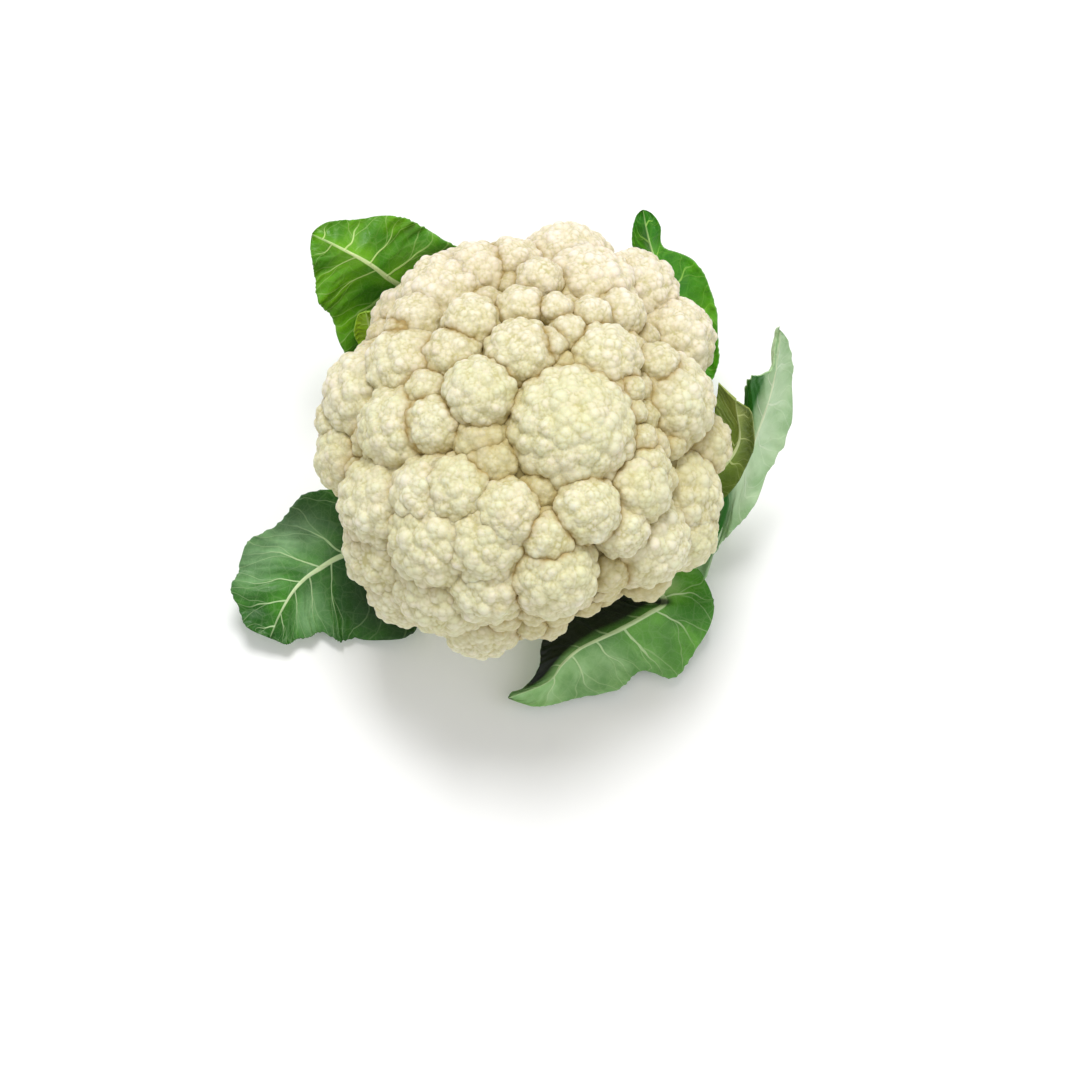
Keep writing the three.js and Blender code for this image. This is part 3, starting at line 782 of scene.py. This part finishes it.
class Nodes:
    """Short names for adding shader nodes to one material."""

    def __init__(self, name):
        self.material = bpy.data.materials.new(name)
        self.material.use_nodes = True
        self.tree = self.material.node_tree
        self.skin = self.tree.nodes["Principled BSDF"]

    def put(self, socket, value):
        if isinstance(value, bpy.types.NodeSocket):
            self.tree.links.new(value, socket)
        else:
            socket.default_value = value

    def add(self, kind, inputs, output=0, **settings):
        node = self.tree.nodes.new(kind)
        for key, value in settings.items():
            setattr(node, key, value)
        for key, value in inputs.items():
            self.put(node.inputs[key], value)
        return node.outputs[output]

    def math(self, operation, a, b=0.0, c=0.0):
        return self.add("ShaderNodeMath", {0: a, 1: b, 2: c}, operation=operation)

    def attribute(self, name):
        """The three numbers of a vector attribute."""
        vector = self.add("ShaderNodeAttribute", {}, "Vector", attribute_name=name)
        return [self.add("ShaderNodeSeparateXYZ", {0: vector}, i) for i in range(3)]

    def ramp(self, value, low, high, out_low=0.0, out_high=1.0):
        """A smooth step from one value to another between two thresholds."""
        inputs = {"Value": value, "From Min": low, "From Max": high}
        inputs.update({"To Min": out_low, "To Max": out_high})
        return self.add("ShaderNodeMapRange", inputs, interpolation_type="SMOOTHSTEP")

    def mix(self, share, a, b):
        return self.add("ShaderNodeMix", {0: share, 6: a, 7: b}, 2, data_type="RGBA")

    def place(self, scale=(1.0, 1.0, 1.0)):
        """Object coordinates in millimetres."""
        where = self.add("ShaderNodeTexCoord", {}, "Object")
        stretch = tuple(s / MM for s in scale)
        return self.add("ShaderNodeVectorMath", {0: where, 1: stretch}, operation="MULTIPLY")

    def noise(self, size, detail=2.0, where=None, rough=0.5):
        """Soft noise with features of a size in millimetres, from 0 to 1."""
        where = where or self.place()
        inputs = {"Vector": where, "Scale": 1 / size, "Detail": detail, "Roughness": rough}
        return self.add("ShaderNodeTexNoise", inputs)

    def cells(self, size, feature, where=None):
        inputs = {"Vector": where or self.place(), "Scale": 1 / size}
        return self.add("ShaderNodeTexVoronoi", inputs, feature=feature)

    def bump(self, height, depth, normal=None):
        """Relief of a depth in millimetres."""
        inputs = {"Height": height, "Distance": depth * MM, "Strength": 1.0}
        if normal:
            inputs["Normal"] = normal
        return self.add("ShaderNodeBump", inputs)

    def finish(self, base, roughness, normal=None, subsurface=0.0, reach=2.0, gloss=0.4):
        self.put(self.skin.inputs["Base Color"], base)
        self.put(self.skin.inputs["Roughness"], roughness)
        self.skin.inputs["Specular IOR Level"].default_value = gloss
        if normal:
            self.put(self.skin.inputs["Normal"], normal)
        if subsurface:
            self.skin.inputs["Subsurface Weight"].default_value = subsurface
            self.skin.inputs["Subsurface Radius"].default_value = (1.0, 0.8, 0.45)
            self.skin.inputs["Subsurface Scale"].default_value = reach * MM
        return self.material


def curd_material():
    """Cream grains with greenish and pinkish patches, tan painted shade in the creases, hollows and
    crevices where florets and buds meet and where the curd lies deep, and painted light, paler,
    towards the back.
    """
    n = Nodes("curd")
    crease_shade, bud, crevice_shade = n.attribute("relief")
    luck, grain_luck, depth = n.attribute("spot")
    base = n.mix(luck, color(224, 223, 194), color(232, 230, 206))
    base = n.mix(n.ramp(grain_luck, 0.55, 1.0, 0.0, 0.6), base, color(224, 227, 190))
    base = n.mix(n.ramp(grain_luck, 0.0, 0.35, 0.45, 0.0), base, color(238, 228, 214))
    pink = n.ramp(n.noise(15.0), 0.5, 0.68)
    base = n.mix(n.math("MULTIPLY", pink, 0.4), base, color(238, 224, 208))
    sour = n.ramp(n.noise(21.0, where=n.place((1.0, 1.3, 0.8))), 0.5, 0.7)
    base = n.mix(n.math("MULTIPLY", sour, 0.45), base, color(218, 219, 174))
    # Painted light: the curd paler and pinker towards the back, where the key lamp falls on its top.
    painted_light_back = n.ramp(n.add("ShaderNodeSeparateXYZ", {0: n.place()}, 1), -15.0, 60.0, 0.0, 0.8)
    base = n.mix(painted_light_back, base, color(244, 232, 222))
    # Painted shade in the hollows between buds.
    hollow_shade = n.math("SUBTRACT", 1.0, bud)
    base = n.mix(n.math("MULTIPLY", hollow_shade, 0.45), base, color(212, 204, 158))
    # Painted shade in the creases between grains.
    between = n.math("MULTIPLY", crease_shade, n.ramp(n.noise(7.0), 0.3, 0.6, 0.4, 1.0))
    base = n.mix(n.math("MULTIPLY", between, 0.75), base, color(184, 176, 116))
    # Painted shade: tan-brown in the crevices where florets meet.
    base = n.mix(n.math("MULTIPLY", crevice_shade, 0.95), base, color(158, 130, 70))
    # Painted shade, darker and yellower, where the curd lies deep or a floret is sunk.
    base = n.mix(n.math("MULTIPLY", depth, 0.75), base, color(182, 168, 114))
    beads = n.ramp(n.cells(0.9, "F1"), 0.0, 0.75, 1.0, 0.0)
    speck = n.ramp(n.noise(1.6, 3.0), 0.42, 0.66)
    base = n.mix(n.math("MULTIPLY", speck, 0.14), base, color(196, 184, 124))
    normal = n.bump(beads, 0.09)
    normal = n.bump(n.noise(0.5, 3.0), 0.05, normal)
    rough = n.ramp(n.noise(3.0), 0.3, 0.7, 0.62, 0.78)
    return n.finish(base, rough, normal, subsurface=0.3, reach=1.6, gloss=0.3)


def stem_material(name, pale, green):
    """Smooth pale flesh with faint lengthwise fibres, and painted shade where an object gives a shade
    share.
    """
    n = Nodes(name)
    base = n.mix(n.ramp(n.noise(14.0, 3.0), 0.35, 0.7), pale, green)
    fibre = n.noise(1.6, 3.0, where=n.place((1.0, 1.0, 0.08)))
    base = n.mix(n.math("MULTIPLY", n.ramp(fibre, 0.5, 0.75), 0.4), base, green)
    # Painted shade, tan-olive.
    shade = n.add("ShaderNodeAttribute", {}, "Fac", attribute_name="shade")
    base = n.mix(shade, base, color(126, 112, 62))
    return n.finish(base, n.ramp(fibre, 0.3, 0.7, 0.42, 0.6), n.bump(fibre, 0.15), 0.2, 1.5)


def leaf_material(name, deep, fresh, bloom, vein, under, shade):
    """A blade with a pale midrib, side veins that fork, a fine net and a waxy bloom, with painted
    shade in its flutes and where it lies in shadow.
    """
    n = Nodes(name)
    along, across, away = n.attribute("leaf")
    waxy, veins, painted_shade = n.attribute("tone")
    below = n.add("ShaderNodeAttribute", {}, "Fac", attribute_name="under")
    # Painted shade on the upper face only.
    painted_shade = n.math("MULTIPLY", painted_shade, n.math("SUBTRACT", 1.0, below))
    base = n.mix(n.ramp(n.noise(22.0, 2.0), 0.35, 0.65), deep, fresh)
    mottle = n.ramp(n.noise(4.0, 3.0), 0.35, 0.7)
    base = n.mix(n.math("MULTIPLY", mottle, 0.22), base, deep)
    wide = n.math("ABSOLUTE", across)
    sway = n.math("MULTIPLY", n.math("SUBTRACT", n.noise(13.0, 2.0), 0.5), 0.34)
    s = n.math("ADD", veins, sway)
    off = n.math("ABSOLUTE", n.math("SUBTRACT", n.math("FRACT", s), 0.5))
    # Flutes along the side veins, in the bump and also painted darker: painted shade in their
    # grooves.
    turns = n.math("MULTIPLY_ADD", n.noise(5.0, 3.0), 5.0, n.math("MULTIPLY", s, 6 * math.pi))
    flute = n.math("MULTIPLY_ADD", n.math("SINE", turns), 0.5, 0.5)
    flute = n.math("MULTIPLY", flute, n.ramp(wide, 0.12, 0.6))
    between = n.math("MULTIPLY", n.ramp(off, 0.1, 0.42), n.ramp(wide, 0.05, 0.4))
    # Darker green: painted shade in the flutes, and the blade's own darker green midway between
    # veins.
    dark = n.math("MAXIMUM", n.math("MULTIPLY", flute, 0.42), n.math("MULTIPLY", between, 0.5))
    base = n.mix(dark, base, deep)
    haze = n.math("MULTIPLY", waxy, n.ramp(n.noise(11.0, 4.0), 0.25, 0.65, 0.45, 1.0))
    # The bloom thins in the painted flute shade.
    haze = n.math("MULTIPLY", haze, n.math("MULTIPLY_ADD", dark, -0.6, 1.0))
    base = n.mix(haze, base, bloom)
    # Painted shade: the blade darkened towards its shade colour where it lies in shadow.
    base = n.mix(painted_shade, base, shade)
    base = n.mix(n.math("MULTIPLY", below, 0.75), base, under)
    slim = n.math("MULTIPLY_ADD", wide, -0.032, 0.042)
    main = n.ramp(n.math("DIVIDE", off, slim), 0.55, 1.25, 1.0, 0.0)
    forked = n.math("MULTIPLY", n.math("MAXIMUM", n.math("SUBTRACT", wide, 0.34), 0.0), 0.62)
    fork = n.math("ABSOLUTE", n.math("SUBTRACT", off, forked))
    fork = n.ramp(n.math("DIVIDE", fork, 0.018), 0.4, 1.3, 0.34, 0.0)
    fork = n.math("MULTIPLY", fork, n.ramp(wide, 0.3, 0.45))
    bent = n.add("ShaderNodeVectorMath", {0: n.place(), 1: (0.9, 0.9, 0.9)}, operation="MULTIPLY")
    coarse = n.ramp(n.cells(6.5, "DISTANCE_TO_EDGE", bent), 0.0, 0.06, 1.0, 0.0)
    fine = n.ramp(n.cells(2.4, "DISTANCE_TO_EDGE"), 0.0, 0.07, 1.0, 0.0)
    net = n.math("MAXIMUM", n.math("MULTIPLY", coarse, 0.1), n.math("MULTIPLY", fine, 0.08))
    main = n.math("MULTIPLY", main, n.ramp(wide, 0.25, 0.95, 1.0, 0.25))
    lines = n.math("MAXIMUM", n.math("MAXIMUM", main, fork), net)
    # Veins fade under the painted shade.
    lines = n.math("MULTIPLY", lines, n.math("SUBTRACT", 1.0, painted_shade))
    taper = n.math("MULTIPLY_ADD", along, -0.016, 0.0195)
    rib = n.ramp(n.math("DIVIDE", away, taper), 0.7, 1.15, 1.0, 0.0)
    base = n.mix(n.math("MULTIPLY", lines, 0.8), base, vein)
    rib = n.math("MULTIPLY", rib, n.ramp(along, 0.7, 1.0, 1.0, 0.3))
    # The midrib darkens under the painted shade too.
    rib = n.math("MULTIPLY", rib, n.math("MULTIPLY_ADD", painted_shade, -0.9, 1.0))
    base = n.mix(rib, base, n.mix(0.45, vein, color(226, 234, 190)))
    foot = n.math("MULTIPLY", n.ramp(along, 0.1, 0.3, 1.0, 0.0), n.ramp(away, 0.05, 0.14, 1.0, 0.0))
    base = n.mix(n.math("MULTIPLY", foot, 0.9), base, color(222, 230, 188))
    raised = n.math("MAXIMUM", n.math("MAXIMUM", main, fork), n.math("MULTIPLY", coarse, 0.18))
    raised = n.math("MULTIPLY_ADD", flute, -1.2, raised)
    normal = n.bump(raised, 0.22)
    normal = n.bump(n.math("MAXIMUM", fine, n.noise(0.7, 3.0)), 0.08, normal)
    rough = n.math("MULTIPLY_ADD", haze, 0.18, n.ramp(n.noise(6.0), 0.3, 0.7, 0.36, 0.5))
    return n.finish(base, rough, normal, subsurface=0.08, reach=1.0, gloss=0.32)


def build_stalk(material):
    """The cut stalk, with the scars of leaves that were trimmed off."""
    sides = STALK_SIDES
    a = np.arange(sides) * 2 * math.pi / sides
    points = []
    for share in np.linspace(0.02, 0.96, CUT_RINGS):
        ring = STALK_R[0] * share
        dip = 0.25 * math.exp(-(((share - 0.72) / 0.05) ** 2)) + 0.02 * math.sin(40 * share)
        points.append(np.stack([ring * np.cos(a), ring * np.sin(a), dip + 0 * a], axis=1))
    for z in np.linspace(0, STALK_TOP, STALK_RINGS):
        scar = np.zeros(sides)
        for k in range(SCARS):
            middle = GOLDEN * k + 0.4
            turn = np.abs((a - middle + math.pi) % (2 * math.pi) - math.pi)
            low = 5 + 24 * k / SCARS + 5 * turn**2
            scar += np.exp(-(((z - low) / 1.3) ** 2)) * np.clip(1 - (turn / 0.75) ** 2, 0, 1)
        radius = np.interp(z, STALK_Z, STALK_R) - SCAR_DEPTH * scar
        points.append(np.stack([radius * np.cos(a), radius * np.sin(a), z + 0 * a], axis=1))
    rings = len(points)
    points = np.concatenate(points + [[[0, 0, 0.02]], [[0, 0, STALK_TOP]]])
    faces = []
    for i in range(rings - 1):
        for j in range(sides):
            a0, b0 = i * sides + j, i * sides + (j + 1) % sides
            faces.append((a0, b0, b0 + sides, a0 + sides))
    last = (rings - 1) * sides
    for j in range(sides):
        faces.append(((j + 1) % sides, j, rings * sides))
        faces.append((last + j, last + (j + 1) % sides, rings * sides + 1))
    make_object("stalk_flesh", points, faces, {}, "stalk", material)


def make_floor():
    """A plain pale floor just under the cut of the stalk."""
    bpy.ops.mesh.primitive_plane_add(size=6, location=(0, 0, -0.0002))
    floor = bpy.context.object
    floor.name = "floor"
    n = Nodes("floor")
    tint = n.mix(n.noise(90.0), color(246, 246, 246), color(250, 250, 250))
    floor.data.materials.append(n.finish(tint, 0.9))


def area_light(name, place_at, energy, size):
    """A soft square lamp turned to the middle of the floor."""
    data = bpy.data.lights.new(name, "AREA")
    data.energy = energy
    data.size = size
    lamp = bpy.data.objects.new(name, data)
    lamp.location = place_at
    lamp.rotation_euler = (-lamp.location).to_track_quat("-Z", "Y").to_euler()
    bpy.context.scene.collection.objects.link(lamp)


def light_world(strength):
    """Even white light from all round."""
    world = bpy.data.worlds.new("world")
    world.use_nodes = True
    world.node_tree.nodes["Background"].inputs["Strength"].default_value = strength
    world.node_tree.nodes["Background"].inputs["Color"].default_value = (1, 1, 1, 1)
    bpy.context.scene.world = world


def main():
    make_camera()
    make_floor()
    light_world(WORLD_LIGHT)
    for name, place_at, energy, size in LIGHTS:
        area_light(name, place_at, energy, size)
    bpy.context.scene.view_settings.view_transform = "Standard"
    florets = build_florets(curd_material())
    build_branches(florets, stem_material("branch", color(236, 236, 200), color(206, 214, 150)))
    build_stalk(stem_material("stalk", color(222, 228, 180), color(178, 198, 120)))
    # The last colour of each leaf finish is the colour of its painted shade.
    kinds = {
        "leaf_bright": leaf_material(
            "leaf_bright", color(58, 122, 6), color(108, 172, 14), color(132, 184, 70),
            color(200, 228, 140), color(140, 184, 104), color(26, 70, 10)),
        "leaf_crisp": leaf_material(
            "leaf_crisp", color(42, 116, 4), color(100, 180, 14), color(136, 192, 76),
            color(154, 206, 88), color(130, 178, 90), color(22, 66, 8)),
        "leaf_pale": leaf_material(
            "leaf_pale", color(124, 170, 106), color(170, 206, 148), color(198, 222, 184),
            color(216, 234, 200), color(186, 210, 170), color(28, 104, 8)),
        "leaf_dark": leaf_material(
            "leaf_dark", color(28, 86, 10), color(62, 130, 24), color(158, 202, 148),
            color(198, 226, 170), color(140, 176, 124), color(8, 26, 5)),
        "leaf_front": leaf_material(
            "leaf_front", color(52, 120, 14), color(98, 172, 36), color(164, 204, 144),
            color(204, 230, 174), color(140, 176, 124), color(8, 20, 4)),
        "leaf_inner": leaf_material(
            "leaf_inner", color(84, 112, 24), color(128, 154, 48), color(186, 190, 112),
            color(206, 220, 140), color(170, 180, 96), color(50, 60, 12)),
        "leaf_young": leaf_material(
            "leaf_young", color(128, 170, 18), color(184, 212, 56), color(190, 216, 92),
            color(196, 224, 110), color(150, 184, 80), color(24, 56, 8)),
    }
    for leaf in LEAVES:
        make_leaf(leaf, florets, kinds[leaf.get("finish", leaf["slot"])])
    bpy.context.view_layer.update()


main()
